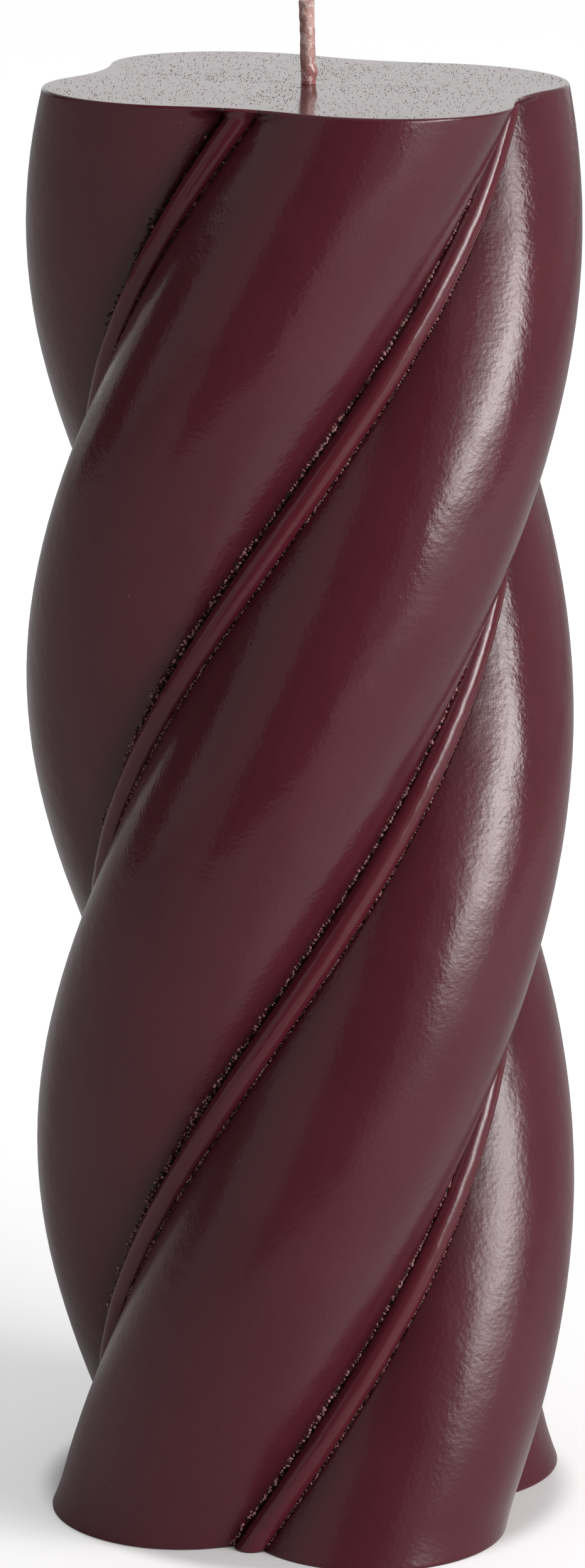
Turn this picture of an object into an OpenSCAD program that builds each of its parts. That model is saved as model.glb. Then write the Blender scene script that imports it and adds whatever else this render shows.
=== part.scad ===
// Twisted pillar candle: a quatrefoil column of wax with a round bead in each groove, on a wick held by a
// metal tab that a wax plug closes into the base. Millimetres, +Z up, origin at the centre of the base.

/* [Wax body] */
// Width across two opposite lobes
body_d = 70; // [50:1:100]
// Height of the wax at the wick
body_h = 185; // [120:1:240]
// Depth of the grooves between the lobes, without their beads
groove_depth = 11; // [6:0.5:14]
// Diameter of the bead in each groove
bead_d = 4.4; // [3:0.1:6]
// How deep the bead is fused into the lobes on either side
bead_bond = 1.25; // [0.5:0.05:2]
// Direction of the first groove at the base, from +X
groove_start = 72.4; // [0:0.1:90]

/* [Twist] */
// Turn of the section from the base to the top, right-handed
twist = 270; // [0:5:450]
// How much faster than its mean rate the twist runs at the top, and slower at the base, in percent
twist_gain = 4.3; // [0:0.1:30]

/* [Foot and top] */
// How far the foot flares out
foot_flare = 0.6; // [0:0.1:2]
// Height over which the foot flares
foot_flare_h = 5; // [2:0.5:15]
// Radius of the foot's lower edge
foot_round = 0.4; // [0.2:0.1:1.5]
// How full of wax the grooves are at the foot's lower edge, in percent
foot_fill = 82; // [0:1:95]
// Height over which the grooves empty above that edge
foot_fill_h = 2; // [1:0.5:10]
// Radius of the rim round the top
rim_round = 0.5; // [0.1:0.1:1.5]
// How full of wax the grooves are at the rim, in percent
rim_fill = 68; // [0:1:95]
// Height over which the grooves empty below the rim
rim_fill_h = 1.2; // [0.5:0.1:5]
// Fall of the top towards +X, in degrees
top_slope = 1.3; // [0:0.1:3]

/* [Wick] */
// Diameter of the wick
wick_d = 1.8; // [1.2:0.1:3]
// Length of wick that stands out of the wax
wick_free = 10.5; // [4:0.5:25]

/* [Wick tab] */
// Diameter of the tab's disc
tab_d = 16; // [10:0.5:24]
// Thickness of the tab's sheet
tab_t = 0.4; // [0.2:0.05:0.8]
// Height of the neck above the disc
neck_h = 5; // [2:0.5:10]

/* [Base plug] */
// Depth of wax under the tab
plug_h = 4; // [2:0.5:8]

/* [Fits] */
// Gap round the wick, in the wax and in the tab's neck
wick_gap = 0.05; // [0.02:0.01:0.2]
// Gap round the tab and the plug in the hollow of the base
seat_gap = 0.1; // [0.05:0.05:0.3]

/* [Hidden] */
$fn = 64;

// Facets of the wax body
lobe_steps = 12;
bead_steps = 6;
shaft_steps = 48;
foot_steps = 5;
band_steps = 3;
edge_steps = 3;

// Section: round lobes touch the body's circle and meet at the bottom of the grooves, where the beads lie
lobes = 4;
pitch = 360 / lobes;
body_r = body_d / 2;
groove_r = body_r - groove_depth;
lobe_at = (body_r ^ 2 - groove_r ^ 2) / (2 * (body_r - groove_r * cos(pitch / 2)));
lobe_r = body_r - lobe_at;
bead_r = bead_d / 2;
bead_reach = lobe_r + bead_r - bead_bond;
groove_in = lobe_at * cos(pitch / 2);
groove_side = lobe_at * sin(pitch / 2);
bead_at = groove_in + sqrt(bead_reach ^ 2 - groove_side ^ 2);

// The crease where a bead, on +X, meets the lobe that follows it, and the arcs that end there
lobe_c = [groove_in, groove_side];
bead_c = [bead_at, 0];
to_bead = (bead_c - lobe_c) / bead_reach;
along = (lobe_r ^ 2 - bead_r ^ 2 + bead_reach ^ 2) / (2 * bead_reach);
across = sqrt(lobe_r ^ 2 - along ^ 2);
crease = lobe_c + along * to_bead + across * [-to_bead.y, to_bead.x];
bead_half = atan2(crease.y, crease.x - bead_at);
lobe_half = pitch / 2 - atan2(crease.y - lobe_c.y, crease.x - lobe_c.x);

// Bores and seats
bore_r = wick_d / 2 + wick_gap;
neck_r = bore_r + tab_t;
hollow_r = tab_d / 2 + seat_gap;
hollow_h = plug_h + tab_t;
socket_r = neck_r + seat_gap;
socket_h = hollow_h + neck_h + seat_gap;
wick_h = body_h + wick_free - plug_h;
overrun = 1;

wax = "#5c1f2b";
plug_wax = "#64242f";
cotton = "#c39a8c";
tinplate = "#b9bcc0";

function polar(r, a) = r * [cos(a), sin(a)];

// One bead and the lobe that follows it, with the groove at angle a
function bay(a) = concat(
  [for (i = [0 : bead_steps]) polar(bead_at, a) + polar(bead_r, a + bead_half * (2 * i / bead_steps - 1))],
  [for (i = [1 : lobe_steps - 1])
    polar(lobe_at, a + pitch / 2) + polar(lobe_r, a + pitch / 2 + lobe_half * (2 * i / lobe_steps - 1))]);
section = [for (k = [0 : lobes - 1]) each bay(groove_start + pitch * k)];

// How far out a groove is filled over the point p: wax up to an arc that touches the lobes on either side
function fill(p, percent) =
  let (low = groove_r + percent / 100 * (groove_in + lobe_r - groove_r),
       rise = low - groove_in,
       arc_r = (rise ^ 2 + groove_side ^ 2 - lobe_r ^ 2) / (2 * (lobe_r - rise)),
       arc_at = low + arc_r,
       touch = lobe_c + lobe_r / (lobe_r + arc_r) * ([arc_at, 0] - lobe_c),
       turns = (atan2(p.y, p.x) - groove_start) / pitch,
       off = pitch * (turns - round(turns)))
  abs(off) < atan2(touch.y, touch.x)
    ? max(1, (arc_at * cos(off) - sqrt(arc_r ^ 2 - (arc_at * sin(off)) ^ 2)) / norm(p))
    : 1;

// Heights of the rings: close together on the two rounded edges, the flare and the filled grooves
foot_zs = [for (i = [0 : edge_steps]) foot_round * (1 - cos(90 * i / edge_steps))];
flare_zs = [for (i = [1 : foot_steps]) foot_round + (foot_flare_h - foot_round) * i / foot_steps];
rim_z = body_h - rim_round;
band_z = rim_z - rim_fill_h;
shaft_zs = [for (i = [1 : shaft_steps]) foot_flare_h + (band_z - foot_flare_h) * i / shaft_steps];
band_zs = [for (i = [1 : band_steps]) band_z + rim_fill_h * i / band_steps];
rim_zs = [for (i = [1 : edge_steps]) rim_z + rim_round * sin(90 * i / edge_steps)];
zs = concat(foot_zs, flare_zs, shaft_zs, band_zs, rim_zs);

// How far a quarter-round edge of radius r draws in, at depth s inside its end
function edge_in(r, s) = s >= r ? 0 : r - sqrt(r ^ 2 - (r - s) ^ 2);
function flare(z) = z >= foot_flare_h ? 0 : foot_flare * (1 - z / foot_flare_h) ^ 2;
function grow(z) = 1 + (flare(z) - edge_in(foot_round, z) - edge_in(rim_round, body_h - z)) / body_r;
function turn(u) = twist * (u + twist_gain / 100 * (u ^ 2 - u));

// How much of the two fills is there at a height, from 0 to 1
function foot_share(z) = max(0, min(1, 1 - (z - foot_round) / foot_fill_h)) ^ 2;
function rim_share(z) = max(0, min(1, (z - band_z) / rim_fill_h)) ^ 2;
function filled(p, z) =
  1 + foot_share(z) * (fill(p, foot_fill) - 1) + rim_share(z) * (fill(p, rim_fill) - 1);

// The height of the wax over x, as a share of its height at the wick
function slope(x) = 1 - tan(top_slope) * x / body_h;
function ring_point(p, z) =
  let (a = turn(z / body_h),
       q = grow(z) * filled(p, z) * [p.x * cos(a) - p.y * sin(a), p.x * sin(a) + p.y * cos(a)])
  [q.x, q.y, z * slope(q.x)];

module column() {
  n = len(section);
  m = len(zs);
  rings = [for (z = zs) each [for (p = section) ring_point(p, z)]];
  ends = [[0, 0, 0], [0, 0, body_h]];
  low = n * m;
  sides = [for (j = [0 : m - 2], i = [0 : n - 1])
    let (a = j * n + i, b = j * n + (i + 1) % n)
    each [[a, a + n, b + n], [a, b + n, b]]];
  base = [for (i = [0 : n - 1]) [low, i, (i + 1) % n]];
  top = [for (i = [0 : n - 1]) [low + 1, (m - 1) * n + (i + 1) % n, (m - 1) * n + i]];
  polyhedron(concat(rings, ends), concat(sides, base, top));
}

// Everything that is hollow in the wax body: base hollow, socket of the tab's neck and bore of the wick
module core() {
  rotate_extrude()
    polygon([[0, -overrun], [hollow_r, -overrun], [hollow_r, hollow_h], [socket_r, hollow_h],
             [socket_r, socket_h], [bore_r, socket_h], [bore_r, body_h + overrun], [0, body_h + overrun]]);
}

module wax_body() {
  color(wax) difference() {
    column();
    core();
  }
}

module wick() {
  color(cotton) translate([0, 0, plug_h]) cylinder(d = wick_d, h = wick_h);
}

module wick_tab() {
  color(tinplate) translate([0, 0, plug_h]) rotate_extrude()
    polygon([[bore_r, 0], [tab_d / 2, 0], [tab_d / 2, tab_t], [neck_r, tab_t], [neck_r, tab_t + neck_h],
             [bore_r, tab_t + neck_h]]);
}

module base_plug() {
  color(plug_wax) cylinder(d = tab_d, h = plug_h);
}

wax_body();
wick();
wick_tab();
base_plug();
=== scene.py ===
"""Looks of a twisted pillar candle: burgundy wax cast as a four-lobed column with a bead in each groove."""

import random
from collections import namedtuple
from math import atan2, cos, exp, pi, radians, sin, sqrt, tan

import bmesh
import bpy
from bpy.props import FloatProperty, FloatVectorProperty, IntProperty, PointerProperty
from mathutils import Euler, Matrix, Vector, noise


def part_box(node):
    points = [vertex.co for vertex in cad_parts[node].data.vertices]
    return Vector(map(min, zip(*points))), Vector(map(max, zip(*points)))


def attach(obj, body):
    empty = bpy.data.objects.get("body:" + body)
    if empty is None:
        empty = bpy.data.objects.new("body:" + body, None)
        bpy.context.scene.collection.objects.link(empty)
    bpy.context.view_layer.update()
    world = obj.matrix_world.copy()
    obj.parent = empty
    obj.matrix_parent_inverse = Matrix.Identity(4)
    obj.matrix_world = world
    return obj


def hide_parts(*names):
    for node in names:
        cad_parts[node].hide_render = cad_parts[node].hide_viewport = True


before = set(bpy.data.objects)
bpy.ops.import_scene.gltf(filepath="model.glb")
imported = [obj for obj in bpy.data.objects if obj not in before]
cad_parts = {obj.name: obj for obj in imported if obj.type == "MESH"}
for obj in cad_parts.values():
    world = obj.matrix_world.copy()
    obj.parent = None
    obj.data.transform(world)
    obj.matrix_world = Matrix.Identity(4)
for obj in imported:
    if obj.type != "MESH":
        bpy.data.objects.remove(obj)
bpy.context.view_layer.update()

bl_info = {
    "name": "Twisted pillar candle",
    "version": (1, 0, 0),
    "blender": (4, 5, 0),
    "location": "View3D > Sidebar > Candle",
    "description": "Dresses the packed frame of a twisted pillar candle in wax and waxed cotton",
    "category": "Add Mesh",
}

MM = 0.001
LOBES = 4
PITCH = 2 * pi / LOBES

# Distance within which two points count as one
CLOSE = 0.01 * MM

# Wax: refractive index, and two heights with the roughness below the one and above the other
WAX_IOR = 1.45
WAX_ROUGH = (45 * MM, 110 * MM, 0.21, 0.135)

# Boxes of the CAD nodes, which give the pieces their sizes
WAX_LOW, WAX_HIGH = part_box("wax_body")
WICK_LOW, WICK_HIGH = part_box("wick")
TAB_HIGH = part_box("wick_tab")[1]
PLUG_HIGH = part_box("base_plug")[1]

# Facets of the wax body
BEAD_STEPS = 16
LOBE_STEPS = ((0.04, 6), (0.92, 32), (0.04, 6))
SHAFT_STEPS = 365
FLARE_STEPS = 12
BAND_STEPS = 5
EDGE_STEPS = 5
TOP_RINGS = (0.99, 0.96, 0.9, 0.75, 0.55, 0.35, 0.18)
BASE_RINGS = (0.97,)
CORE_STEPS = 48

# Cast surface: sizes of its waves, ripples, bead lumps and rags, how far a crease's rags and slit reach, and
# the depths of ripples and lower slits as shares of those of waves and upper slits
WAVE = 27 * MM
RIPPLE = 5 * MM
RIPPLE_SHARE = 0.25
BEAD_LUMP = 1.9 * MM
RAG_SIZE = 0.9 * MM
RAG_REACH = 0.9 * MM
SLIT_REACH = 0.4 * MM
LOWER_SLIT = 0.4

# Painted shade by the creases above and below a bead, how dark and how far, on the bead and on the lobes
CREASE_SHADE_ON_BEAD = ((0.5, 2.1 * MM), (0.6, 0.8 * MM))
CREASE_SHADE_ON_LOBE = ((0.7, 4.5 * MM), (0.45, 5 * MM))

# How far from the wick the wax climbs it, and the rings of that slope
CLIMB_REACH = 2 * MM
CLIMB_RINGS = (1, 0.7, 0.45, 0.25, 0.1, 0)

# Crumbs above the beads (-1) and below them (1): where they lie, as shares of their spread, and their scale
CRUMB_REACH = {-1: (0.25, 1.0), 1: (-0.3, 0.3)}
CRUMB_SCALE = {-1: 1.0, 1: 0.7}

# Crumbs: stretches strewn one at a time, steps as shares of the spacing, size of clusters, how many more and
# how much larger crumbs those have, rises as shares of the radius, how drawn out crumbs are, and how pale
CRUMB_STRETCHES = 12
CRUMB_STEP = (0.35, 1.3)
CRUMB_CLUSTER = 5 * MM
CLUSTER_MORE = 0.9
CLUSTER_LARGER = 0.7
CRUMB_RISE = (0.1, 0.85)
BUBBLE_RISE = (-0.4, 0.0)
CRUMB_DRAW = (0.7, 1.25)
CRUMB_TONE = (0.3, 1.0)

# Groove that came clean out of the mould above a height: few crumbs, and most of them bubbles
CLEAN_GROOVE = 3
CLEAN_ABOVE = 120 * MM
CLEAN_COVER = 0.3
CLEAN_BUBBLES = 0.8

# Specks on the top: patches that are strewn one at a time, sizes and heights as shares, and how pale they are
SPECK_PATCHES = 36
SPECK_SIZE = (0.35, 1.0)
SPECK_RISE = (-0.4, 0.4)
# Specks below a shade of 0.25 take some of the near-black painted shade
SPECK_TONE = (0.1, 0.6)

# Wick: facets, where its relief starts from the wax and how soon it is full, height of one turn of its braid,
# lumps, the bead of wax near its foot, and widths and rises of its rounded end
WICK_SIDES = 28
WICK_RINGS = 120
RELIEF_START = -0.5 * MM
RELIEF_RAMP = 0.8 * MM
WICK_LAY = 3.4 * MM
WICK_LUMP = 1.3 * MM
DRIP_HEIGHT = 1.5 * MM
DRIP_SIZE = 0.8 * MM
DRIP_WAY = radians(25)
WICK_END = ((0.9, 0.08 * MM), (0.6, 0.03 * MM), (0.25, 0.01 * MM))

# Poured plug: its sink, rings as shares of its radius, rounded edge, and the size and depth of its waves
PLUG_SINK = 0.3 * MM
PLUG_RINGS = (0, 0.2, 0.4, 0.6, 0.75, 0.86, 0.94)
PLUG_EDGE = ((-0.1 * MM, 0.02 * MM), (0, 0.15 * MM))
PLUG_WAVE = 3 * MM
PLUG_WAVE_DEPTH = 0.06 * MM

# Angles from which edges are sharp
WAX_SHARP = radians(40)
CRUMB_SHARP = radians(60)
CORE_SHARP = radians(50)

# Softboxes and dark cards: azimuth from front to right, elevation and roll in degrees, then sizes in metres
Card = namedtuple("Card", "azimuth elevation roll distance width height brightness")
SOFTBOX = Card(51.5, 19.5, 16, 1.6, 1.26, 1.3, 16.5)
UPPER_SOFTBOX = Card(69, 40, 0, 1.6, 0.36, 0.75, 5.0)
FRONT_FLAG = Card(-14.5, 0, 0, 0.3, 0.26, 0.56, 0.085)
SIDE_FLAG = Card(-110, 12, 0, 1.2, 0.78, 0.5, 0.06)

# Softbox: how its brightness rises and falls over shares of its width, half height of its hot band, colour
SOFTBOX_RISE = (-0.25, 0.65, 0.05, 1.0)
SOFTBOX_FALL = (0.78, 1.0, 1.0, 0.3)
SOFTBOX_BAND = 0.14
LAMP_COLOUR = (1.0, 0.955, 0.965)

# Floor: where its lift grows, edge of the candle's contact shadow, and the lit way with its spread
# The lift is weaker near the candle and gone inside the contact edge: painted shade round and under its foot
LIFT_REACH = (0.06, 0.4)
CONTACT_EDGE = (0.0315, 0.0365)
LIT_AZIMUTH = radians(62)
LIT_SPREAD = (0.6, 0.95)

# How much a direction points straight back where the paler wall starts and where it is full
BACK_WALL = (0.8, 0.97)


def setting(make=FloatProperty, **kind):
    """A function that declares settings of one kind, which a user may change."""
    def declare(name, description, default):
        return make(name=name, description=description, default=default, **kind)
    return declare


# Sizes in metres, rotations in radians, shares, brightnesses with 1 for white, linear colours and integers
length = setting(unit="LENGTH", subtype="DISTANCE", precision=5)
rotation = setting(unit="ROTATION", subtype="ANGLE")
share = setting(min=0.0, max=1.0, subtype="FACTOR")
level = setting(min=0.0)
colour = setting(FloatVectorProperty, size=3, subtype="COLOR", min=0.0, max=1.0)
integer = setting(IntProperty)


def angle(name, description, degrees):
    """A rotation whose default is given in degrees."""
    return rotation(name, description, radians(degrees))


class CandleWax(bpy.types.PropertyGroup):
    """Sizes of the wax body."""

    width: length("Width", "Width across two opposite lobes", WAX_HIGH.x - WAX_LOW.x)
    wick_free: length("Free wick", "Length of wick above the wax", 10.5 * MM)
    groove_depth: length("Groove depth", "Depth of the grooves without their beads", 11 * MM)
    bead_width: length("Bead width", "Diameter of the bead in each groove", 4.4 * MM)
    bead_bond: length("Bead bond", "How deep a bead is fused into the lobes", 1.25 * MM)
    groove_start: angle("Groove start", "Direction of the first groove at the base", 72.4)
    twist: angle("Twist", "Turn of the section from the base to the top", 270)
    twist_gain: share("Twist gain", "How much faster the twist runs at the top", 0.043)
    foot_flare: length("Foot flare", "How far the foot flares out", 0.6 * MM)
    foot_flare_height: length("Flare height", "Height over which the foot flares", 5 * MM)
    foot_round: length("Foot edge", "Radius of the foot's lower edge", 0.4 * MM)
    rim_round: length("Rim edge", "Radius of the rim round the top", 0.35 * MM)
    rim_fill: share("Rim fill", "How full of wax the grooves are at the rim", 0.68)
    rim_fill_height: length("Rim fill height", "Height over which the rim's grooves empty", 1.2 * MM)
    top_slope: angle("Top slope", "Fall of the top towards +X", 1.3)
    meniscus: length("Meniscus", "How high the wax climbs the wick", 0.06 * MM)
    bow: length("Bow", "How far the column bows towards -X at half height", 0.87 * MM)
    sway: length("Sway", "How far the column sways to +X in its lower half and to -X above", 0.37 * MM)
    wobble: length("Wobble", "Depth of the slow unevenness of the cast surface", 0.06 * MM)
    rag: length("Ragged creases", "Unevenness of the creases beside the beads", 0.08 * MM)
    bead_lumps: length("Bead lumps", "Unevenness of the beads", 0.05 * MM)
    bead_offset: length("Bead offset", "How far the beads lie towards the lobes below them", 0.5 * MM)
    bead_sink: length("Bead sink", "How much deeper the beads lie than their bond alone asks for", 0.12 * MM)
    slit: length("Slit", "Depth of the narrow slit along a crease above a bead", 0.1 * MM)


class CandleCrumbs(bpy.types.PropertyGroup):
    """Crumbs of wax and burst bubbles that the mould leaves along the creases."""

    spacing: length("Spacing", "Mean distance between crumbs along a crease", 0.2 * MM)
    spread: length("Spread", "How far from its crease a crumb may lie", 1.0 * MM)
    smallest: length("Smallest", "Radius of the smallest crumb", 0.1 * MM)
    largest: length("Largest", "Radius of the largest crumb", 0.22 * MM)
    # Burst bubbles are near-black balls: painted shade of their holes
    bubbles: share("Bubbles", "How many of the crumbs are dark burst bubbles", 0.35)
    upper: share("Upper creases", "How much of the creases above the beads has crumbs", 0.85)
    lower: share("Lower creases", "How much of the creases below the beads has crumbs", 0.62)
    specks: integer("Specks", "Number of fine specks on the top", 4320)
    speck: length("Speck", "Radius of the largest speck on the top", 0.07 * MM)
    seed: integer("Seed", "Start of the random places", 7)


class CandleWick(bpy.types.PropertyGroup):
    """Form of the wick."""

    lean: length("Lean", "How far the wick's end leans towards -X", 0.25 * MM)
    braid: length("Braid relief", "Depth of the braid under its wax", 0.05 * MM)
    lumps: length("Lumps", "Unevenness of the wax on the wick", 0.09 * MM)
    drip: length("Drip", "How far the bead of wax near the wick's foot stands out", 0.32 * MM)


class CandleFinish(bpy.types.PropertyGroup):
    """Colours, and the grain of the cast surface."""

    wax: colour("Wax", "Dyed wax", (0.069, 0.0097, 0.0164))
    wax_pale: colour("Pale wax", "Where the dye is thinner", (0.082, 0.0123, 0.0202))
    # Painted glow: the bead colour is lighter than the wax, in place of light passing through the slim beads
    bead: colour("Bead", "Wax of the slim beads, which lets more light through", (0.09, 0.0118, 0.0195))
    crumb: colour("Crumbs", "Broken wax in the creases", (0.42, 0.22, 0.21))
    # Near-black painted shade, which holes, darkened creases and burst bubbles take in place of their shade
    painted_shade: colour("Pits", "Air holes in the creases", (0.006, 0.002, 0.0026))
    dust: colour("Dust", "Specks of dust on the wax", (0.34, 0.19, 0.18))
    cotton: colour("Cotton", "Waxed cotton of the wick", (0.54, 0.36, 0.315))
    film: colour("Film", "Pale wax that has set on the wick", (0.8, 0.68, 0.64))
    cotton_foot: colour("Cotton at the foot", "Cotton that has drawn up dyed wax", (0.29, 0.105, 0.1))
    tin: colour("Tinplate", "Sheet of the wick tab", (0.55, 0.56, 0.58))
    plug: colour("Plug wax", "Wax poured into the base", (0.085, 0.015, 0.023))
    peel: length("Peel", "Size of the fine grain of the cast surface", 0.58 * MM)
    peel_depth: length("Peel depth", "Depth of that grain", 0.042 * MM)


class CandleStage(bpy.types.PropertyGroup):
    """Camera, floor and room."""

    camera_distance: length("Camera distance", "Distance of the camera in front of the wick", 749 * MM)
    camera_height: length("Camera height", "Height of the camera above the floor", 276.9 * MM)
    camera_side: length("Camera side", "How far the camera stands to the left", 2.0 * MM)
    camera_pitch: angle("Camera pitch", "How far the camera looks down", 13.66)
    camera_lens: setting(unit="CAMERA")("Lens", "Focal length for a 36 mm sensor", 137.6)
    floor_radius: length("Floor radius", "Radius of the round floor", 8.0)
    floor_grey: share("Floor", "Grey of the floor", 0.57)
    floor_seen: share("Seen floor", "Grey of the floor where the camera sees it", 0.82)
    floor_near: level("Lift near", "Light added to the seen floor beside the candle", 0.36)
    floor_far: level("Lift far", "Light added to the seen floor away from the candle", 0.58)
    floor_right: level("Mirrored lift", "Light added to the mirrored floor on the softbox's side", 0.24)
    room: level("Room", "Light of the room", 0.42)
    back: level("Back wall", "Light of the wall behind the candle", 1.0)


def clamp(value):
    """A value held between 0 and 1."""
    return max(0.0, min(1.0, value))


def steps(start, end, count):
    """Evenly spaced values after a start, up to and with an end."""
    return [start + (end - start) * i / count for i in range(1, count + 1)]


# Form of the wax body

Arcs = namedtuple("Arcs", "bead_c lobe_c lobe_r creases bead_span lobe_span")


def body_height(wax):
    """Height of the wax at the wick."""
    return WICK_HIGH.z - wax.wick_free


def meet(lobe_c, lobe_r, bead_c, bead_r, side):
    """The outer point where a lobe's circle, on one side of a bead, crosses the bead's circle."""
    way = bead_c - lobe_c
    along = (lobe_r ** 2 - bead_r ** 2 + way.length_squared) / (2 * way.length)
    across = sqrt(lobe_r ** 2 - along ** 2)
    way.normalize()
    return lobe_c + along * way + side * across * Vector((-way.y, way.x, 0))


def swept(centre, start, end):
    """The angle round a centre from one point to another, anticlockwise."""
    first = start - centre
    last = end - centre
    return (atan2(last.y, last.x) - atan2(first.y, first.x)) % (2 * pi)


def section_arcs(wax):
    """Centres, creases (-1 above the bead, 1 below it) and angles of the arcs at a groove on +X."""
    outer = wax.width / 2
    inner = outer - wax.groove_depth
    reach = (outer ** 2 - inner ** 2) / (2 * (outer - inner * cos(PITCH / 2)))
    lobe_r = outer - reach
    bead_r = wax.bead_width / 2
    lobe_c = Vector((reach * cos(PITCH / 2), reach * sin(PITCH / 2), 0))
    span = lobe_r + bead_r - wax.bead_bond
    bead_at = lobe_c.x + sqrt(span ** 2 - lobe_c.y ** 2)
    bead_c = Vector((bead_at - wax.bead_sink, wax.bead_offset, 0))
    upper = meet(Vector((lobe_c.x, -lobe_c.y, 0)), lobe_r, bead_c, bead_r, -1)
    lower = meet(lobe_c, lobe_r, bead_c, bead_r, 1)
    next_upper = Matrix.Rotation(PITCH, 3, "Z") @ upper
    return Arcs(bead_c, lobe_c, lobe_r, {-1: upper, 1: lower}, swept(bead_c, upper, lower),
                swept(lobe_c, lower, next_upper))


def groove_turn(wax, groove):
    """Rotation that takes a groove on +X to its place at the base."""
    return Matrix.Rotation(wax.groove_start + PITCH * groove, 3, "Z")


def all_round(wax, point):
    """The four places at the base of a point that is given for a groove on +X."""
    return [groove_turn(wax, groove) @ point for groove in range(LOBES)]


def verts_of(made):
    """The vertices among what a bmesh operator made."""
    return [item for item in made if isinstance(item, bmesh.types.BMVert)]


def extrude_ring(bm, ring):
    """Extrudes a ring of edges and returns the new vertices and the new open ring."""
    made = bmesh.ops.extrude_edge_only(bm, edges=ring)["geom"]
    edges = [item for item in made if isinstance(item, bmesh.types.BMEdge) and item.is_boundary]
    return verts_of(made), edges


def lathe(bm, profile):
    """Turns a profile of radii and heights once round the wick."""
    points = [bm.verts.new((x, 0, z)) for x, z in profile]
    edges = [bm.edges.new(pair) for pair in zip(points, points[1:])]
    bmesh.ops.spin(bm, geom=points + edges, cent=(0, 0, 0), axis=(0, 0, 1), angle=2 * pi,
                   steps=CORE_STEPS, use_merge=True)


def spin_point(bm, point, centre, turn, count):
    """Draws an arc from a vertex round a centre and returns the vertex at its end."""
    spun = bmesh.ops.spin(bm, geom=[point], cent=centre, axis=(0, 0, 1), angle=turn, steps=count)
    return verts_of(spun["geom_last"])[0]


def draw_section(bm, wax):
    """Draws the closed outline of the base: four beads, each with the lobe that follows it."""
    arcs = section_arcs(wax)
    point = bm.verts.new(all_round(wax, arcs.creases[-1])[0])
    for groove in range(LOBES):
        place = groove_turn(wax, groove)
        point = spin_point(bm, point, place @ arcs.bead_c, arcs.bead_span, BEAD_STEPS)
        for portion, count in LOBE_STEPS:
            point = spin_point(bm, point, place @ arcs.lobe_c, arcs.lobe_span * portion, count)
    bmesh.ops.remove_doubles(bm, verts=bm.verts, dist=CLOSE)


def edge_in(radius, depth):
    """How far a quarter-round edge draws in, at a depth inside its end."""
    if depth >= radius:
        return 0.0
    return radius - sqrt(radius ** 2 - (radius - depth) ** 2)


def grow(wax, z):
    """Scale of the section at a height, for the flared foot and the two rounded edges."""
    flare = wax.foot_flare * max(0.0, 1 - z / wax.foot_flare_height) ** 2
    drawn = edge_in(wax.foot_round, z) + edge_in(wax.rim_round, body_height(wax) - z)
    return 1 + (flare - drawn) / (wax.width / 2)


def off_groove(wax, point):
    """Angle of a point of the base's outline from the nearest groove."""
    turns = (atan2(point.y, point.x) - wax.groove_start) / PITCH
    return PITCH * (turns - round(turns))


def fill(wax, point, full):
    """How far out a groove is filled over a point of the base: up to an arc that touches the lobes."""
    arcs = section_arcs(wax)
    inner = wax.width / 2 - wax.groove_depth
    low = inner + full * (arcs.lobe_c.x + arcs.lobe_r - inner)
    rise = low - arcs.lobe_c.x
    arc_r = (rise ** 2 + arcs.lobe_c.y ** 2 - arcs.lobe_r ** 2) / (2 * (arcs.lobe_r - rise))
    arc_at = low + arc_r
    touch = arcs.lobe_c.lerp(Vector((arc_at, 0, 0)), arcs.lobe_r / (arcs.lobe_r + arc_r))
    off = off_groove(wax, point)
    if abs(off) >= atan2(touch.y, touch.x):
        return 1.0
    reach = arc_at * cos(off) - sqrt(arc_r ** 2 - (arc_at * sin(off)) ** 2)
    return max(1.0, reach / point.length)


def raised(wax, point, z, rim_web=0.0):
    """Where a point of the base's outline comes to lie at a height of the straight column."""
    u = z / body_height(wax)
    turn = wax.twist * (u + wax.twist_gain * (u * u - u))
    rim = clamp((z - body_height(wax) + wax.rim_round) / wax.rim_fill_height + 1) ** 2
    size = grow(wax, z) * (1 + rim * rim_web)
    return Matrix.Rotation(turn, 3, "Z") @ Vector((point.x * size, point.y * size, z))


def bowed(wax, co):
    """A point of the straight column moved with the column's bow and sway."""
    u = co.z / body_height(wax)
    return co + Vector((wax.sway * sin(2 * pi * u) - wax.bow * 4 * u * (1 - u), 0, 0))


def sloped(wax, co):
    """A point moved down or up with the sloping top."""
    return Vector((co.x, co.y, co.z * (1 - tan(wax.top_slope) * co.x / body_height(wax))))


def uneven(wax, co, point):
    """How far out the cast surface stands: slow waves, lumpy beads, and ragged creases with a slit."""
    out = wax.wobble * (noise.noise(co / WAVE) + RIPPLE_SHARE * noise.noise(co / RIPPLE))
    if point.on_bead:
        out += wax.bead_lumps * noise.noise(co / BEAD_LUMP)
    gap = min(point.upper, point.lower)
    out += wax.rag * clamp(1 - gap / RAG_REACH) * noise.noise(co / RAG_SIZE)
    slit = wax.slit if point.upper < point.lower else LOWER_SLIT * wax.slit
    return out - slit * clamp(1 - gap / SLIT_REACH) ** 2


def painted_shade_at(point):
    """Painted shade at a point of the outline: how dark the creases above and below it make its colour."""
    (upper_dark, upper_reach), (lower_dark, lower_reach) = CREASE_SHADE_ON_BEAD if point.on_bead else CREASE_SHADE_ON_LOBE
    upper = upper_dark * clamp(1 - point.upper / upper_reach)
    lower = lower_dark * clamp(1 - point.lower / lower_reach)
    return max(upper, lower)


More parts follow.
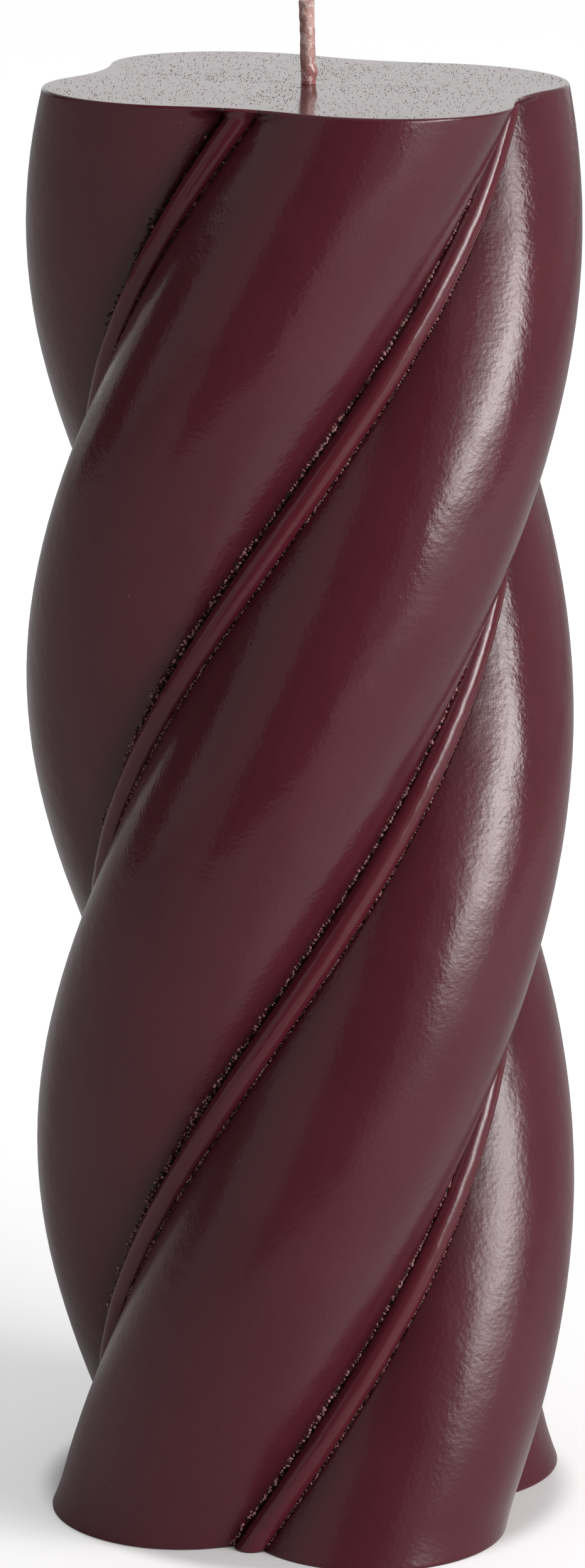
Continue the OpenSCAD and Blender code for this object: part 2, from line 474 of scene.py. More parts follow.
def ring_heights(wax):
    """Heights of the rings, close together over the foot, its flare and the rim."""
    top = body_height(wax)
    rim = top - wax.rim_round
    band = rim - wax.rim_fill_height
    quarter = [0.0] + steps(0.0, pi / 2, EDGE_STEPS)
    foot = [wax.foot_round * (1 - cos(a)) for a in quarter]
    flare = steps(wax.foot_round, wax.foot_flare_height, FLARE_STEPS)
    shaft = steps(wax.foot_flare_height, band, SHAFT_STEPS)
    edge = [rim + wax.rim_round * sin(a) for a in quarter[1:]]
    return foot + flare + shaft + steps(band, rim, BAND_STEPS) + edge


SectionPoint = namedtuple("SectionPoint", "upper lower on_bead rim_web")


def section_point(wax, co):
    """What the column needs to know of a point of its outline: the creases' distances and the rim's fill."""
    arcs = section_arcs(wax)
    marks = (arcs.creases[-1], arcs.creases[1], arcs.bead_c)
    upper, lower, bead = (min((co - place).length for place in all_round(wax, mark)) for mark in marks)
    return SectionPoint(upper, lower, bead < wax.bead_width / 2 + CLOSE, fill(wax, co, wax.rim_fill) - 1)


def raise_column(bm, wax):
    """Extrudes the section upwards, cuts it into rings, and turns and shapes each as the casting does."""
    heights = ring_heights(wax)
    number = bm.verts.layers.int.new("number")
    points = []
    for index, vert in enumerate(bm.verts):
        vert[number] = index
        points.append(section_point(wax, vert.co))
    upper = extrude_ring(bm, bm.edges)[0]
    bmesh.ops.translate(bm, vec=(0, 0, len(heights) - 1), verts=upper)
    risers = [edge for edge in bm.edges if edge.verts[0].co.z != edge.verts[1].co.z]
    bmesh.ops.subdivide_edges(bm, edges=risers, cuts=len(heights) - 2)
    upper_crease = bm.verts.layers.float.new("upper_crease")
    lower_crease = bm.verts.layers.float.new("lower_crease")
    bead = bm.verts.layers.float.new("bead")
    painted_crease_shade = bm.verts.layers.float.new("painted_crease_shade")
    number = bm.verts.layers.int["number"]
    for vert in bm.verts:
        point = points[vert[number]]
        vert[upper_crease] = clamp(1 - point.upper / MM)
        vert[lower_crease] = clamp(1 - point.lower / MM)
        vert[bead] = float(point.on_bead)
        # Painted shade: the colour is made darker beside the creases, where shade falls
        vert[painted_crease_shade] = painted_shade_at(point)
        z = heights[round(vert.co.z)]
        co = raised(wax, vert.co, z, point.rim_web)
        out = uneven(wax, co, point)
        co.xy *= 1 + out / co.xy.length
        vert.co = bowed(wax, co)
    bm.verts.layers.int.remove(number)


def end_ring(bm, z):
    """The open edges at a height."""
    return [edge for edge in bm.edges if edge.is_boundary and abs(edge.verts[0].co.z - z) < 0.1 * MM]


def draw_inwards(bm, ring, shares):
    """Carries a ring over a flat end towards the wick, at each of the given shares of its width."""
    size = 1.0
    for width in shares:
        verts, ring = extrude_ring(bm, ring)
        bmesh.ops.scale(bm, vec=(width / size, width / size, 1), verts=verts)
        size = width


def turn_core(bm, wax):
    """Lathes the meniscus and bore of the wick, the socket of the tab's neck and the hollow of the base."""
    wick_gap = 0.05 * MM
    seat_gap = 0.1 * MM
    sheet = 0.4 * MM
    top = body_height(wax)
    bore = (WICK_HIGH.x - WICK_LOW.x) / 2 + wick_gap
    socket = bore + sheet + seat_gap
    hollow = PLUG_HIGH.x + seat_gap
    hollow_top = PLUG_HIGH.z + sheet
    climb = [(bore + CLIMB_REACH * out, top + wax.meniscus * (1 - out) ** 3) for out in CLIMB_RINGS]
    seat = [(bore, TAB_HIGH.z + seat_gap), (socket, TAB_HIGH.z + seat_gap), (socket, hollow_top),
            (hollow, hollow_top), (hollow, 0)]
    lathe(bm, climb + seat)


def shade(bm, sharp_angle):
    """Turns faces outwards, shades them smooth and keeps the edges that turn by more than an angle sharp."""
    bmesh.ops.recalc_face_normals(bm, faces=bm.faces)
    for face in bm.faces:
        face.smooth = True
    for edge in bm.edges:
        edge.smooth = len(edge.link_faces) == 2 and edge.calc_face_angle() < sharp_angle


def link_object(name, data):
    """Links new object data into the scene."""
    item = bpy.data.objects.new(name, data)
    bpy.context.scene.collection.objects.link(item)
    return item


def link_mesh(bm, name, material):
    """Makes a finished bmesh an object with its material."""
    mesh = bpy.data.meshes.new(name)
    bm.to_mesh(mesh)
    bm.free()
    mesh.materials.append(material)
    return link_object(name, mesh)


def new_piece(bm, name, material):
    """Makes a finished bmesh an object on the candle's one body, with its material."""
    piece = link_mesh(bm, name, material)
    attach(piece, "root")
    return piece


# Shader nodes

def add(tree, kind, inputs=None, **settings):
    """Adds a shader node with its settings, and sets or links its inputs."""
    node = tree.nodes.new("ShaderNode" + kind)
    for name, value in settings.items():
        setattr(node, name, value)
    for name, value in (inputs or {}).items():
        if isinstance(value, bpy.types.NodeSocket):
            tree.links.new(value, node.inputs[name])
        else:
            node.inputs[name].default_value = value
    return node


def maths(tree, operation, *values):
    """A Math node on values or sockets."""
    return add(tree, "Math", dict(enumerate(values)), operation=operation).outputs[0]


def remap(tree, value, low, high, start=0.0, end=1.0):
    """Takes a value from one range smoothly to another, held at both ends."""
    inputs = {"Value": value, "From Min": low, "From Max": high, "To Min": start, "To Max": end}
    return add(tree, "MapRange", inputs, interpolation_type="SMOOTHSTEP").outputs["Result"]


def blend(tree, amount, first, second):
    """Mixes two colours, each a socket or a linear colour."""
    inputs = {0: amount}
    for name, value in ((6, first), (7, second)):
        inputs[name] = value if isinstance(value, bpy.types.NodeSocket) else (*value, 1.0)
    return add(tree, "Mix", inputs, data_type="RGBA").outputs[2]


def scaled_grain(tree, place, scale, detail):
    """Noise with a number of features to the metre."""
    inputs = {"Vector": place, "Scale": scale, "Detail": detail}
    return add(tree, "TexNoise", inputs).outputs["Fac"]


def grain(tree, place, size, detail=2.0):
    """Noise whose features have a size in metres."""
    return scaled_grain(tree, place, 1 / size, detail)


def attribute(tree, name):
    """A value kept on the mesh."""
    return add(tree, "Attribute", attribute_name=name).outputs["Fac"]


def new_material(name, **constants):
    """A material with its tree, its Principled shader with constant inputs, and its Object coordinates."""
    material = bpy.data.materials.new(name)
    material.use_nodes = True
    tree = material.node_tree
    shader = tree.nodes["Principled BSDF"]
    for socket, value in constants.items():
        shader.inputs[socket].default_value = value
    return material, tree, shader, add(tree, "TexCoord").outputs["Object"]


def dress(tree, shader, base, roughness, normal):
    """Links a colour, a roughness and a normal to a Principled shader."""
    for name, value in (("Base Color", base), ("Roughness", roughness), ("Normal", normal)):
        tree.links.new(value, shader.inputs[name])


def stage_material(name):
    """A material without its Principled shader, with its tree and the socket of its surface."""
    material = bpy.data.materials.new(name)
    material.use_nodes = True
    tree = material.node_tree
    tree.nodes.remove(tree.nodes["Principled BSDF"])
    return material, tree, tree.nodes["Material Output"].inputs["Surface"]


def wax_skin():
    """Node group of cast wax: height of its fine peel, slow mottling of the dye and specks of dust."""
    group = bpy.data.node_groups.get("cast wax skin")
    if group:
        return group
    group = bpy.data.node_groups.new("cast wax skin", "ShaderNodeTree")
    for name in ("Peel Scale", "Swell Scale", "Dust Scale"):
        group.interface.new_socket(name=name, in_out="INPUT", socket_type="NodeSocketFloat")
    for name in ("Height", "Mottle", "Dust"):
        group.interface.new_socket(name=name, in_out="OUTPUT", socket_type="NodeSocketFloat")
    entry = group.nodes.new("NodeGroupInput").outputs
    leave = group.nodes.new("NodeGroupOutput").inputs
    place = add(group, "TexCoord").outputs["Object"]
    peel = scaled_grain(group, place, entry["Peel Scale"], 3.0)
    swell = scaled_grain(group, place, entry["Swell Scale"], 2.0)
    height = maths(group, "MULTIPLY_ADD", swell, 3.5, peel)
    group.links.new(height, leave["Height"])
    mottle = remap(group, grain(group, place, 14 * MM, 5.0), 0.35, 0.65)
    fine = remap(group, grain(group, place, 0.3 * MM), 0.3, 0.7)
    group.links.new(maths(group, "MULTIPLY", maths(group, "ADD", mottle, fine), 0.5), leave["Mottle"])
    specks = add(group, "TexVoronoi", {"Vector": place, "Scale": entry["Dust Scale"]})
    near = remap(group, specks.outputs["Distance"], 0.032, 0.012)
    some = maths(group, "GREATER_THAN", specks.outputs["Color"], 0.62)
    group.links.new(maths(group, "MULTIPLY", near, some), leave["Dust"])
    return group


def place_skin(tree, peel, swell, dust):
    """Puts the wax skin group into a material, with the sizes of its grain."""
    node = tree.nodes.new("ShaderNodeGroup")
    node.node_tree = wax_skin()
    for name, size in (("Peel Scale", peel), ("Swell Scale", swell), ("Dust Scale", dust)):
        node.inputs[name].default_value = 1 / size
    return node.outputs


def bump(tree, height, depth):
    """A normal from a height of 0 to 1 that stands for a depth in metres."""
    return add(tree, "Bump", {"Height": height, "Distance": depth, "Strength": 1.0}).outputs["Normal"]


def burgundy_wax(finish):
    """Cast wax: mottled dye, fine peel, duller towards the foot, and pale wax and painted shade in the
    creases.
    """
    material, tree, shader, place = new_material("burgundy_wax", IOR=WAX_IOR)
    skin = place_skin(tree, finish.peel, 6 * MM, 4 * MM)
    upper = remap(tree, attribute(tree, "upper_crease"), 0.5, 0.88)
    lower = remap(tree, attribute(tree, "lower_crease"), 0.62, 0.9, 0.0, 0.8)
    crease = maths(tree, "MAXIMUM", upper, lower)
    broken = grain(tree, place, 0.55 * MM)
    stretch = remap(tree, grain(tree, place, 11 * MM), 0.36, 0.56)
    # Painted shade: near-black holes along the creases, in place of the shade inside them
    painted_pit_shade = maths(tree, "MULTIPLY", crease, remap(tree, broken, 0.52, 0.6))
    pale = maths(tree, "MULTIPLY", maths(tree, "MULTIPLY", crease, remap(tree, broken, 0.47, 0.4)), stretch)
    base = blend(tree, skin["Mottle"], finish.wax, finish.wax_pale)
    bead = attribute(tree, "bead")
    # Painted glow: a lighter colour on the beads in place of light passing through their thin wax
    base = blend(tree, bead, base, finish.bead)
    # Painted shade: darkening beside the creases, in place of the shade in them
    base = blend(tree, remap(tree, attribute(tree, "painted_crease_shade"), 0.0, 1.0, 0.0, 0.8), base, finish.painted_shade)
    base = blend(tree, maths(tree, "MULTIPLY", skin["Dust"], 0.5), base, finish.dust)
    base = blend(tree, maths(tree, "MULTIPLY", pale, 0.6), base, finish.crumb)
    base = blend(tree, painted_pit_shade, base, finish.painted_shade)
    top = attribute(tree, "top_face")
    rise = add(tree, "SeparateXYZ", {"Vector": place}).outputs["Z"]
    rough = remap(tree, rise, *WAX_ROUGH)
    rough = maths(tree, "MULTIPLY_ADD", skin["Mottle"], 0.03, rough)
    rough = maths(tree, "MULTIPLY_ADD", crease, 0.35, rough)
    rough = maths(tree, "MULTIPLY_ADD", bead, -0.07, rough)
    calm = maths(tree, "MAXIMUM", maths(tree, "MULTIPLY", top, 0.88), maths(tree, "MULTIPLY", bead, 0.6))
    height = maths(tree, "MULTIPLY", skin["Height"], maths(tree, "SUBTRACT", 1.0, calm))
    height = maths(tree, "MULTIPLY_ADD", maths(tree, "MULTIPLY", crease, broken), -4.0, height)
    dress(tree, shader, base, rough, bump(tree, height, finish.peel_depth))
    return material


def broken_wax(finish):
    """Crumbs of wax: each its own shade between dyed and bloomed, dull and rough, and burst bubbles in
    painted shade.
    """
    made = bpy.data.materials.get("broken_wax")
    if made:
        return made
    material, tree, shader, place = new_material("broken_wax", IOR=WAX_IOR)
    shade_of = attribute(tree, "shade")
    fleck = remap(tree, grain(tree, place, 0.12 * MM), 0.4, 0.6)
    pale = maths(tree, "MULTIPLY", shade_of, maths(tree, "MULTIPLY_ADD", fleck, 0.4, 0.6))
    base = blend(tree, pale, finish.wax, finish.crumb)
    # Painted shade: low shades blend to near black, so burst bubbles and the darkest specks look like shaded
    # holes
    base = blend(tree, remap(tree, shade_of, 0.25, 0.1), base, finish.painted_shade)
    dress(tree, shader, base, remap(tree, fleck, 0.0, 1.0, 0.45, 0.75), bump(tree, fleck, 0.01 * MM))
    return material


def waxed_cotton(finish):
    """Cotton in a film of wax: long fibres, redder at the foot, where it has drawn up dyed wax."""
    material, tree, shader, place = new_material("waxed_cotton", IOR=WAX_IOR)
    along = add(tree, "Mapping", {"Vector": place, "Scale": (1.0, 1.0, 0.15)}).outputs["Vector"]
    fibre = grain(tree, along, 0.16 * MM, 3.0)
    film = remap(tree, grain(tree, place, 0.9 * MM), 0.42, 0.6)
    rise = add(tree, "SeparateXYZ", {"Vector": place}).outputs["Z"]
    drawn = remap(tree, rise, WICK_HIGH.z - 4 * MM, WICK_HIGH.z - 10.5 * MM)
    patch = maths(tree, "MULTIPLY", remap(tree, grain(tree, place, 1.7 * MM), 0.42, 0.6), 0.6)
    red = maths(tree, "MAXIMUM", drawn, patch)
    base = blend(tree, red, finish.cotton, finish.cotton_foot)
    dark = maths(tree, "MULTIPLY", remap(tree, fibre, 0.5, 0.66), 0.35)
    base = blend(tree, dark, base, finish.cotton_foot)
    base = blend(tree, remap(tree, film, 0.5, 1.0, 0.0, 0.4), base, finish.film)
    height = maths(tree, "MULTIPLY_ADD", film, 1.5, fibre)
    dress(tree, shader, base, remap(tree, film, 0.0, 1.0, 0.5, 0.13), bump(tree, height, 0.028 * MM))
    return material


def tinplate(finish):
    """Rolled tinplate: fine lines across the sheet and dull spots."""
    material, tree, shader, place = new_material("tinplate", Metallic=1.0)
    rolled = add(tree, "Mapping", {"Vector": place, "Scale": (1.0, 0.04, 1.0)}).outputs["Vector"]
    lines = grain(tree, rolled, 0.15 * MM, 3.0)
    spots = remap(tree, grain(tree, place, 1.5 * MM, 4.0), 0.5, 0.68)
    base = blend(tree, maths(tree, "MULTIPLY", spots, 0.4), finish.tin, finish.tin * 0.6)
    dress(tree, shader, base, maths(tree, "MULTIPLY_ADD", spots, 0.15, 0.32), bump(tree, lines, 0.004 * MM))
    return material


def plug_wax(finish):
    """Wax poured last and left as it set: duller and rougher than the cast skin."""
    material, tree, shader, place = new_material("plug_wax", IOR=WAX_IOR)
    skin = place_skin(tree, 0.5 * MM, 3 * MM, 3 * MM)
    base = blend(tree, skin["Mottle"], finish.plug, finish.wax)
    base = blend(tree, skin["Dust"], base, finish.dust)
    rough = maths(tree, "MULTIPLY_ADD", skin["Mottle"], 0.12, 0.6)
    dress(tree, shader, base, rough, bump(tree, skin["Height"], 0.03 * MM))
    return material


def pale_floor(stage):
    """A pale matt floor that is lifted to white as it is seen, and still takes the candle's shadow."""
    material, tree, surface = stage_material("pale_floor")
    path = add(tree, "LightPath").outputs
    seen = maths(tree, "MAXIMUM", path["Is Camera Ray"], path["Is Transmission Ray"])
    place = add(tree, "TexCoord").outputs["Object"]
    away = add(tree, "VectorMath", {0: place}, operation="LENGTH").outputs["Value"]
    way = add(tree, "VectorMath", {0: place}, operation="NORMALIZE").outputs["Vector"]
    lit_way = heading(LIT_AZIMUTH, 0)
    litwards = add(tree, "VectorMath", {0: way, 1: lit_way}, operation="DOT_PRODUCT").outputs["Value"]
    # Painted shade: the seen floor's lift is weaker near the candle and gone under its foot, deepening its
    # shadow
    near_lift = remap(tree, away, *LIFT_REACH, stage.floor_near, stage.floor_far)
    near_lift = maths(tree, "MULTIPLY", near_lift, remap(tree, away, *CONTACT_EDGE))
    right_lift = remap(tree, litwards, *LIT_SPREAD, 0.0, stage.floor_right)
    mirrored = maths(tree, "MULTIPLY", path["Is Glossy Ray"], right_lift)
    strength = maths(tree, "MULTIPLY_ADD", seen, near_lift, mirrored)
    grey = blend(tree, seen, (stage.floor_grey,) * 3, (stage.floor_seen,) * 3)
    paper = add(tree, "BsdfDiffuse", {"Color": grey}).outputs[0]
    lift = add(tree, "Emission", {"Strength": strength}).outputs[0]
    tree.links.new(add(tree, "AddShader", {0: paper, 1: lift}).outputs[0], surface)
    return material


def card_material(name, brightness):
    """A card that shows one plain brightness to what mirrors it."""
    material, tree, surface = stage_material(name)
    tree.links.new(add(tree, "Emission", {"Strength": brightness}).outputs[0], surface)
    return material


# Operators, one for each piece or group of like pieces

class CANDLE_OT_wax_body(bpy.types.Operator):
    """Casts the twisted wax body"""

    bl_idname = "candle.wax_body"
    bl_label = "Wax body"

    def execute(self, context):
        wax = context.scene.candle_wax
        top = body_height(wax)
        bm = bmesh.new()
        draw_section(bm, wax)
        raise_column(bm, wax)
        draw_inwards(bm, end_ring(bm, 0), BASE_RINGS)
        draw_inwards(bm, end_ring(bm, top), TOP_RINGS)
        turn_core(bm, wax)
        bmesh.ops.bridge_loops(bm, edges=end_ring(bm, 0))
        bmesh.ops.bridge_loops(bm, edges=end_ring(bm, top))
        layers = bm.verts.layers.float
        top_face = layers.new("top_face")
        marks = [layers[name] for name in ("upper_crease", "lower_crease", "bead", "painted_crease_shade")]
        for vert in bm.verts:
            vert[top_face] = float(vert.co.z > top - CLOSE)
            if vert[top_face] or vert.co.z < CLOSE:
                for mark in marks:
                    vert[mark] = 0.0
            vert.co = sloped(wax, vert.co)
        shade(bm, WAX_SHARP)
        piece = new_piece(bm, "wax_casting", burgundy_wax(context.scene.candle_finish))
        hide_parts("wax_body")
        return {"FINISHED"}


def beside_crease(wax, groove, side, gap):
    """A point of the base's outline beside a crease, and the way out of the wax there.

    A positive gap lies on the lobe, a negative one on the bead.
    """
    arcs = section_arcs(wax)
    centre = Vector((arcs.lobe_c.x, side * arcs.lobe_c.y, 0)) if gap > 0 else arcs.bead_c
    arm = arcs.creases[side] - centre
    arm.rotate(Matrix.Rotation(side * gap / arm.length, 3, "Z"))
    place = groove_turn(wax, groove)
    return place @ (centre + arm), place @ arm.normalized()


def tumbled(spot, chance):
    """A place at a spot, turned at random."""
    turn = Euler([chance.uniform(0, pi) for axis in range(3)])
    return Matrix.Translation(spot) @ turn.to_matrix().to_4x4()


def add_ball(bm, radius, place, tone):
    """Adds a small ball with its shade, 0 being a burst bubble painted near black as the shade of its hole.
    """
    shade_of = bm.verts.layers.float["shade"]
    for vert in bmesh.ops.create_icosphere(bm, subdivisions=1, radius=radius, matrix=place)["verts"]:
        vert[shade_of] = tone


def gathered(patches):
    """One bmesh of many small ones, each of which is quick to fill."""
    carrier = bpy.data.meshes.new("patch")
    bm = bmesh.new()
    for patch in patches:
        patch.to_mesh(carrier)
        patch.free()
        bm.from_mesh(carrier)
    bpy.data.meshes.remove(carrier)
    return bm


def strew_crumbs(wax, crumbs, groove, side, low, high, chance):
    """A bmesh of the crumbs and bubbles on one stretch of a crease."""
    cover = crumbs.upper if side < 0 else crumbs.lower
    bubbles = crumbs.bubbles
    if groove == CLEAN_GROOVE and low > CLEAN_ABOVE:
        cover = CLEAN_COVER
        bubbles = CLEAN_BUBBLES
    bm = bmesh.new()
    bm.verts.layers.float.new("shade")
    z = low
    crease = beside_crease(wax, groove, side, 0)[0]
    while z < high:
        z += crumbs.spacing * chance.uniform(*CRUMB_STEP)
        dense = noise.noise(raised(wax, crease, z) / CRUMB_CLUSTER)
        if chance.random() - CLUSTER_MORE * dense > 2 * cover - 0.35:
            continue
        size = (1 + CLUSTER_LARGER * dense) * CRUMB_SCALE[side]
        bubble = chance.random() < bubbles
        gap = size * crumbs.spread * chance.uniform(*CRUMB_REACH[side])
        point, outwards = beside_crease(wax, groove, side, gap)
        radius = size * chance.uniform(crumbs.smallest, crumbs.largest)
        rise = chance.uniform(*(BUBBLE_RISE if bubble else CRUMB_RISE))
        spot = raised(wax, point + outwards * radius * rise, z)
        place = tumbled(sloped(wax, bowed(wax, spot)), chance)
        place @= Matrix.Diagonal([chance.uniform(*CRUMB_DRAW) for axis in range(3)] + [1.0])
        # A burst bubble gets shade 0, which paints it near black as the shade of its hole
        add_ball(bm, radius, place, 0.0 if bubble else chance.uniform(*CRUMB_TONE))
    return bm


class CANDLE_OT_crease_crumbs(bpy.types.Operator):
    """Strews crumbs of broken wax and burst bubbles along the creases beside the beads"""

    bl_idname = "candle.crease_crumbs"
    bl_label = "Crumbs in the creases"

    def execute(self, context):
        wax = context.scene.candle_wax
        crumbs = context.scene.candle_crumbs
        chance = random.Random(crumbs.seed)
        top = body_height(wax) - wax.rim_round - wax.rim_fill_height
        heights = [wax.foot_round] + steps(wax.foot_round, top, CRUMB_STRETCHES)
        bm = gathered(strew_crumbs(wax, crumbs, groove, side, low, high, chance)
                      for side in (-1, 1) for groove in range(LOBES)
                      for low, high in zip(heights, heights[1:]))
        shade(bm, CRUMB_SHARP)
        new_piece(bm, "crease_crumbs", broken_wax(context.scene.candle_finish))
        return {"FINISHED"}


def top_spots(wax, count, chance):
    """Random points on the flat top, clear of its rim: each lies in one of the four lobes' circles."""
    arcs = section_arcs(wax)
    top = body_height(wax)
    centres = [raised(wax, lobe, top) for lobe in all_round(wax, arcs.lobe_c)]
    reach = arcs.lobe_r - 2 * wax.rim_round
    spots = []
    for number in range(count):
        centre = chance.choice(centres)
        bearing = chance.uniform(0, 2 * pi)
        away = reach * sqrt(chance.random())
        spots.append(centre + Vector((away * cos(bearing), away * sin(bearing), 0)))
    return spots


def strew_specks(wax, crumbs, chance):
    """A bmesh of one patch of the specks on the top."""
    bm = bmesh.new()
    bm.verts.layers.float.new("shade")
    for spot in top_spots(wax, crumbs.specks // SPECK_PATCHES, chance):
        radius = crumbs.speck * chance.uniform(*SPECK_SIZE)
        lifted = spot + Vector((0, 0, radius * chance.uniform(*SPECK_RISE)))
        add_ball(bm, radius, tumbled(sloped(wax, lifted), chance), chance.uniform(*SPECK_TONE))
    return bm


class CANDLE_OT_top_specks(bpy.types.Operator):
    """Strews the flat top with the fine specks that make it look grainy from the side"""

    bl_idname = "candle.top_specks"
    bl_label = "Specks on the top"

    def execute(self, context):
        wax = context.scene.candle_wax
        crumbs = context.scene.candle_crumbs
        chance = random.Random(crumbs.seed)
        bm = gathered(strew_specks(wax, crumbs, chance) for patch in range(SPECK_PATCHES))
        shade(bm, CRUMB_SHARP)
        new_piece(bm, "top_specks", broken_wax(context.scene.candle_finish))
        return {"FINISHED"}


def wick_form(wick, wax, co):
    """A point of the plain wick moved to its place on the braided, waxed and leaning one."""
    rise = co.z - body_height(wax)
    if rise < RELIEF_START:
        return co
    around = atan2(co.y, co.x)
    lay = rise / WICK_LAY * 2 * pi
    out = -wick.braid * (1 - cos(2 * around + lay) * cos(2 * around - lay))
    out += wick.lumps * (noise.noise(co / WICK_LUMP) + 0.8)
    side = cos(around + DRIP_WAY)
    out += wick.drip * clamp(side) ** 2 * exp(-((rise - DRIP_HEIGHT) / DRIP_SIZE) ** 2)
    radius = co.xy.length + out * clamp((rise - RELIEF_START) / RELIEF_RAMP)
    shift = wick.lean * max(0.0, rise / wax.wick_free)
    return Vector((radius * cos(around) - shift, radius * sin(around), co.z))


class CANDLE_OT_wick(bpy.types.Operator):
    """Braids the wick, waxes it and stands it in its bore"""

    bl_idname = "candle.wick"
    bl_label = "Wick"

    def execute(self, context):
        wax = context.scene.candle_wax
        wick = context.scene.candle_wick
        radius = (WICK_HIGH.x - WICK_LOW.x) / 2
        bm = bmesh.new()
        foot = Matrix.Translation((0, 0, WICK_LOW.z))
        bmesh.ops.create_circle(bm, cap_ends=True, segments=WICK_SIDES, radius=radius, matrix=foot)
        ring = list(bm.edges)
        for z in (body_height(wax) - 1 * MM, WICK_HIGH.z - sum(rise for width, rise in WICK_END)):
            verts, ring = extrude_ring(bm, ring)
            bmesh.ops.translate(bm, vec=(0, 0, z - verts[0].co.z), verts=verts)
        shown = [edge for edge in bm.edges if abs(edge.verts[0].co.z - edge.verts[1].co.z) > 1 * MM
                 and max(vert.co.z for vert in edge.verts) > body_height(wax)]
        bmesh.ops.subdivide_edges(bm, edges=shown, cuts=WICK_RINGS)
        for width, rise in WICK_END:
            verts, ring = extrude_ring(bm, ring)
            size = radius * width / verts[0].co.xy.length
            bmesh.ops.scale(bm, vec=(size, size, 1), verts=verts)
            bmesh.ops.translate(bm, vec=(0, 0, rise), verts=verts)
        bmesh.ops.contextual_create(bm, geom=ring)
        for vert in bm.verts:
            vert.co = wick_form(wick, wax, vert.co)
        shade(bm, CORE_SHARP)
        piece = new_piece(bm, "cotton_wick", waxed_cotton(context.scene.candle_finish))
        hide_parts("wick")
        return {"FINISHED"}


class CANDLE_OT_base_fittings(bpy.types.Operator):
    """Gives the wick tab its tinplate and pours the plug under it"""

    bl_idname = "candle.base_fittings"
    bl_label = "Wick tab and base plug"

    def execute(self, context):
        finish = context.scene.candle_finish
        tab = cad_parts["wick_tab"].data.materials
        tab.clear()
        tab.append(tinplate(finish))
        edge = PLUG_HIGH.x
        profile = [(edge * out, PLUG_SINK * (1 - out ** 3)) for out in PLUG_RINGS]
        profile += [(edge + out, z) for out, z in PLUG_EDGE]
        profile += [(edge, PLUG_HIGH.z), (0, PLUG_HIGH.z)]
        bm = bmesh.new()
        lathe(bm, profile)
        bmesh.ops.remove_doubles(bm, verts=bm.verts, dist=CLOSE)
        for vert in bm.verts:
            if vert.co.z < PLUG_SINK and vert.co.xy.length < 0.9 * edge:
                depth = PLUG_WAVE_DEPTH * (1 - vert.co.xy.length / edge)
                vert.co.z += depth * noise.noise(vert.co / PLUG_WAVE)
        shade(bm, CORE_SHARP)
        piece = new_piece(bm, "poured_plug", plug_wax(finish))
        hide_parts("base_plug")
        return {"FINISHED"}


# Stage

def heading(azimuth, elevation):
    """Direction from the candle for an azimuth from the front to the right, and an elevation."""
    flat = cos(elevation)
    return Vector((sin(azimuth) * flat, -cos(azimuth) * flat, sin(elevation)))


def facing(card, target):
    """The place of a lamp or card that is turned towards a target."""
    way = card.distance * heading(radians(card.azimuth), radians(card.elevation))
    turn = (-way).to_track_quat("-Z", "Y").to_matrix().to_4x4()
    return Matrix.Translation(target + way) @ turn @ Matrix.Rotation(radians(card.roll), 4, "Z")


def set_flag(name, card, target):
    """Stands a dark card that only mirrored light sees."""
    bm = bmesh.new()
    place = facing(card, target) @ Matrix.Diagonal((card.width / 2, card.height / 2, 1, 1))
    bmesh.ops.create_grid(bm, x_segments=1, y_segments=1, size=1, matrix=place)
    flag = link_mesh(bm, name, card_material(name, card.brightness))
    flag.visible_camera = False
    flag.visible_diffuse = False
    flag.visible_shadow = False
    flag.visible_transmission = False


def set_lamp(name, card, target):
    """Hangs a soft rectangular lamp whose surface has a brightness."""
    lamp = bpy.data.lights.new(name, "AREA")
    lamp.shape = "RECTANGLE"
    lamp.size = card.width
    lamp.size_y = card.height
    lamp.energy = card.brightness * pi * card.width * card.height
    lamp.color = LAMP_COLOUR
    item = link_object(name, lamp)
    item.matrix_world = facing(card, target)
    item.visible_camera = False
    return lamp


def shape_softbox(lamp):
    """Makes the softbox brightest right of its middle, weaker towards its left, upper and lower edges."""
    lamp.use_nodes = True
    tree = lamp.node_tree
    spot = add(tree, "SeparateXYZ", {"Vector": add(tree, "NewGeometry").outputs["Parametric"]}).outputs
    rise = remap(tree, spot["X"], *SOFTBOX_RISE)
    across = maths(tree, "MULTIPLY", rise, remap(tree, spot["X"], *SOFTBOX_FALL))
    off_middle = maths(tree, "DIVIDE", maths(tree, "SUBTRACT", spot["Y"], 0.5), SOFTBOX_BAND)
    glow = maths(tree, "DIVIDE", across, maths(tree, "MULTIPLY_ADD", off_middle, off_middle, 1.0))
    tree.links.new(glow, tree.nodes["Emission"].inputs["Strength"])


def studio_room(stage):
    """A world of one grey, paler behind the candle."""
    world = bpy.data.worlds.new("studio")
    world.use_nodes = True
    tree = world.node_tree
    way = add(tree, "TexCoord").outputs["Generated"]
    behind = remap(tree, add(tree, "SeparateXYZ", {"Vector": way}).outputs["Y"], *BACK_WALL)
    strength = remap(tree, behind, 0.0, 1.0, stage.room, stage.back)
    tree.links.new(strength, tree.nodes["Background"].inputs["Strength"])
    tree.nodes["Background"].inputs["Color"].default_value = (1, 1, 1, 1)
    return world


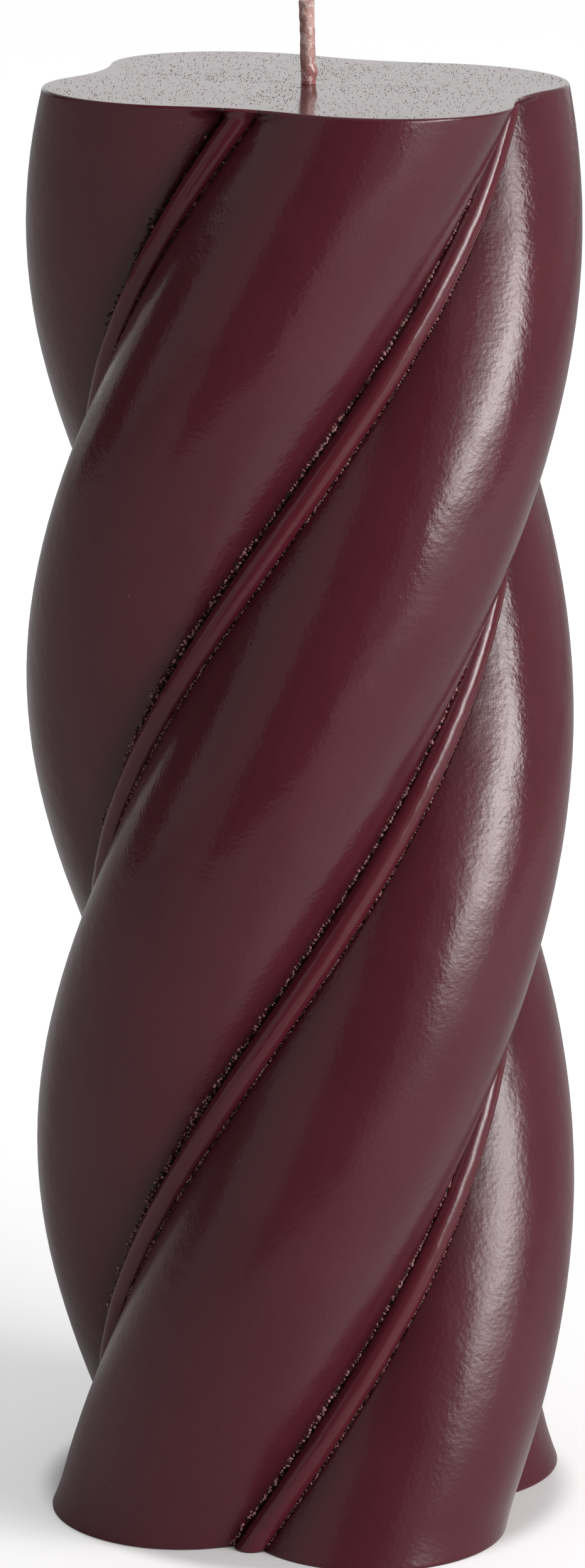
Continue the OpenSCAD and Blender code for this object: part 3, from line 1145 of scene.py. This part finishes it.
class CANDLE_OT_stage(bpy.types.Operator):
    """Sets the camera, floor, room, softboxes and cards"""

    bl_idname = "candle.stage"
    bl_label = "Stage"

    def execute(self, context):
        stage = context.scene.candle_stage
        camera = link_object("camera", bpy.data.cameras.new("camera"))
        camera.data.sensor_width = 36
        camera.data.lens = stage.camera_lens
        camera.location = (-stage.camera_side, -stage.camera_distance, stage.camera_height)
        camera.rotation_euler = (pi / 2 - stage.camera_pitch, 0, 0)
        context.scene.camera = camera

        bm = bmesh.new()
        bmesh.ops.create_circle(bm, cap_ends=True, segments=96, radius=stage.floor_radius)
        link_mesh(bm, "floor", pale_floor(stage))

        middle = Vector((0, 0, WAX_HIGH.z / 2))
        shape_softbox(set_lamp("softbox", SOFTBOX, middle))
        set_lamp("upper_softbox", UPPER_SOFTBOX, middle)
        set_flag("front_flag", FRONT_FLAG, Vector((0, 0, FRONT_FLAG.height / 2)))
        set_flag("side_flag", SIDE_FLAG, middle)
        context.scene.world = studio_room(stage)
        context.scene.view_settings.view_transform = "Standard"
        return {"FINISHED"}


class CANDLE_PT_sidebar(bpy.types.Panel):
    """Lists the candle's pieces and its stage in the sidebar"""

    bl_idname = "CANDLE_PT_sidebar"
    bl_label = "Twisted pillar candle"
    bl_space_type = "VIEW_3D"
    bl_region_type = "UI"
    bl_category = "Candle"

    def draw(self, context):
        for operator in OPERATORS:
            self.layout.operator(operator.bl_idname)
        for group in GROUPS:
            box = self.layout.box()
            settings = getattr(context.scene, group)
            for name in settings.bl_rna.properties.keys():
                if name not in ("rna_type", "name"):
                    box.prop(settings, name)


OPERATORS = (CANDLE_OT_wax_body, CANDLE_OT_crease_crumbs, CANDLE_OT_top_specks, CANDLE_OT_wick,
             CANDLE_OT_base_fittings, CANDLE_OT_stage)
GROUPS = {"candle_wax": CandleWax, "candle_crumbs": CandleCrumbs, "candle_wick": CandleWick,
          "candle_finish": CandleFinish, "candle_stage": CandleStage}
CLASSES = (*GROUPS.values(), *OPERATORS, CANDLE_PT_sidebar)


def register():
    for cls in CLASSES:
        bpy.utils.register_class(cls)
    for name, group in GROUPS.items():
        setattr(bpy.types.Scene, name, PointerProperty(type=group))


def unregister():
    for name in GROUPS:
        delattr(bpy.types.Scene, name)
    for cls in reversed(CLASSES):
        bpy.utils.unregister_class(cls)


def main():
    register()
    bpy.ops.candle.wax_body()
    bpy.ops.candle.crease_crumbs()
    bpy.ops.candle.top_specks()
    bpy.ops.candle.wick()
    bpy.ops.candle.base_fittings()
    bpy.ops.candle.stage()


if __name__ == "__main__":
    main()
